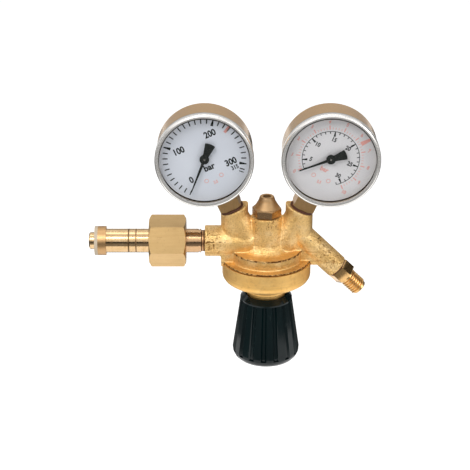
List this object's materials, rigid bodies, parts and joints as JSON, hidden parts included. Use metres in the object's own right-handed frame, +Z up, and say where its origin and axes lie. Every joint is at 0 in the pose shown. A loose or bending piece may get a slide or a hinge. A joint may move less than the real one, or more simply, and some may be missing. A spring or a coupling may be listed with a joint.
{
  "type": "pressure regulator",
  "caption": "Brass gas cylinder pressure regulator with two tilted dial gauges, union nut inlet, angled threaded outlet and a black fluted setting knob below.",
  "frame": {"origin": "centre of the inlet seal's front face, on the inlet's axis", "axes": "+X along the inlet into the body, +Z up to the gauges, the dials face -Y"},
  "size_m": [0.1905, 0.059, 0.1811],
  "materials": {
    "forged_brass": "matte forged",
    "machined_brass": "turned",
    "steel": "satin",
    "gauge_case": "polished",
    "gauge_bezel": "polished",
    "gauge_window": "clear",
    "gauge_dial": "satin",
    "gauge_hand": "satin",
    "knob_plastic": "gloss",
    "seal_plastic": "matte",
    "gasket": "matte",
    "diaphragm_rubber": "matte"
  },
  "bodies": {
    "regulator": {"body": "forged_brass", "bonnet": "forged_brass", "inlet_stem": "machined_brass", "inlet_seal": "seal_plastic", "inlet_washer": "gasket", "inlet_filter": "machined_brass", "valve_cartridge": "machined_brass", "slip_ring": "steel", "diaphragm": "diaphragm_rubber", "relief_body": "machined_brass", "relief_gasket": "gasket", "relief_seat": "machined_brass", "outlet_gasket": "gasket", "outlet_connector": "machined_brass", "adjusting_spring": "steel", "poppet_spring": "steel", "relief_spring": "steel", "high_gauge_case": "gauge_case", "high_gauge_bezel": "gauge_bezel", "high_gauge_window": "gauge_window", "high_gauge_dial": "gauge_dial", "high_gauge_stem": "machined_brass", "high_gauge_washer": "gasket", "high_gauge_bourdon_tube": "machined_brass", "high_gauge_movement_frame": "machined_brass", "low_gauge_case": "gauge_case", "low_gauge_bezel": "gauge_bezel", "low_gauge_window": "gauge_window", "low_gauge_dial": "gauge_dial", "low_gauge_stem": "machined_brass", "low_gauge_washer": "gasket", "low_gauge_bourdon_tube": "machined_brass", "low_gauge_movement_frame": "machined_brass"},
    "setting_plate": {"spring_plate": "steel"},
    "setting_knob": {"knob": "knob_plastic", "adjusting_screw": "steel"},
    "nut_ring": {"nut_thrust_ring": "machined_brass"},
    "nut": {"union_nut": "machined_brass"},
    "diaphragm_stack": {"diaphragm_plate": "machined_brass", "diaphragm_washer": "machined_brass", "diaphragm_nut": "steel"},
    "valve_poppet": {"poppet": "machined_brass", "poppet_seal": "seal_plastic", "poppet_pin": "steel"},
    "relief_valve_poppet": {"relief_poppet": "machined_brass"},
    "high_hand": {"high_gauge_pointer": "gauge_hand", "high_gauge_arbor": "steel"},
    "high_sector_body": {"high_gauge_sector": "machined_brass"},
    "high_link_body": {"high_gauge_link": "steel"},
    "low_hand": {"low_gauge_pointer": "gauge_hand", "low_gauge_arbor": "steel"},
    "low_sector_body": {"low_gauge_sector": "machined_brass"},
    "low_link_body": {"low_gauge_link": "steel"}
  },
  "joints": [
    {"name": "knob_turn", "type": "hinge", "parent": "setting_plate", "child": "setting_knob", "pos_m": [0.114, 0, -0.06], "axis": [0, 0, 1], "range_deg": [0, 900]},
    {"name": "setting_slide", "type": "slide", "parent": "regulator", "child": "setting_plate", "axis": [0, 0, 1], "range_m": [0, 0.00375], "deforming": ["adjusting_spring"]},
    {"name": "nut_slide", "type": "slide", "parent": "regulator", "child": "nut_ring", "axis": [1, 0, 0], "range_m": [-0.044, 0.012]},
    {"name": "nut_spin", "type": "hinge", "parent": "nut_ring", "child": "nut", "pos_m": [0.0484, 0, 0], "axis": [1, 0, 0], "continuous": true},
    {"name": "diaphragm_slide", "type": "slide", "parent": "regulator", "child": "diaphragm_stack", "axis": [0, 0, 1], "range_m": [0, 0.0008], "stiffness_N_per_m": 4000, "deforming": ["diaphragm"]},
    {"name": "poppet_slide", "type": "slide", "parent": "regulator", "child": "valve_poppet", "axis": [0, 0, 1], "range_m": [0, 0.0008], "deforming": ["poppet_spring"]},
    {"name": "relief_slide", "type": "slide", "parent": "regulator", "child": "relief_valve_poppet", "axis": [0, 0, 1], "range_m": [0, 0.0012], "stiffness_N_per_m": 3000, "deforming": ["relief_spring"]},
    {"name": "high_hand_turn", "type": "hinge", "parent": "regulator", "child": "high_hand", "pos_m": [0.07331, 0, 0.0628], "axis": [0, 1, 0], "range_deg": [0, 270], "stiffness_Nm_per_rad": 0.001},
    {"name": "high_sector_turn", "type": "hinge", "parent": "regulator", "child": "high_sector_body", "pos_m": [0.08233, 0, 0.05157], "axis": [0, 1, 0], "range_deg": [-33.75, 0]},
    {"name": "high_link_turn", "type": "hinge", "parent": "high_sector_body", "child": "high_link_body", "pos_m": [0.09022, 0, 0.05286], "axis": [0, 1, 0], "range_deg": [0, 33.75]},
    {"name": "low_hand_turn", "type": "hinge", "parent": "regulator", "child": "low_hand", "pos_m": [0.15469, 0, 0.0628], "axis": [0, 1, 0], "range_deg": [0, 270], "stiffness_Nm_per_rad": 0.001},
    {"name": "low_sector_turn", "type": "hinge", "parent": "regulator", "child": "low_sector_body", "pos_m": [0.15224, 0, 0.04861], "axis": [0, 1, 0], "range_deg": [-33.75, 0]},
    {"name": "low_link_turn", "type": "hinge", "parent": "low_sector_body", "child": "low_link_body", "pos_m": [0.15843, 0, 0.04354], "axis": [0, 1, 0], "range_deg": [0, 33.75]}
  ],
  "couplings": [
    {"joint": "knob_turn", "follows": "setting_slide", "rad_per_m": 4188.8},
    {"joint": "poppet_slide", "follows": "diaphragm_slide", "ratio": 1},
    {"joint": "high_sector_turn", "follows": "high_hand_turn", "ratio": -0.125},
    {"joint": "high_link_turn", "follows": "high_hand_turn", "ratio": 0.125},
    {"joint": "low_sector_turn", "follows": "low_hand_turn", "ratio": -0.125},
    {"joint": "low_link_turn", "follows": "low_hand_turn", "ratio": 0.125}
  ]
}
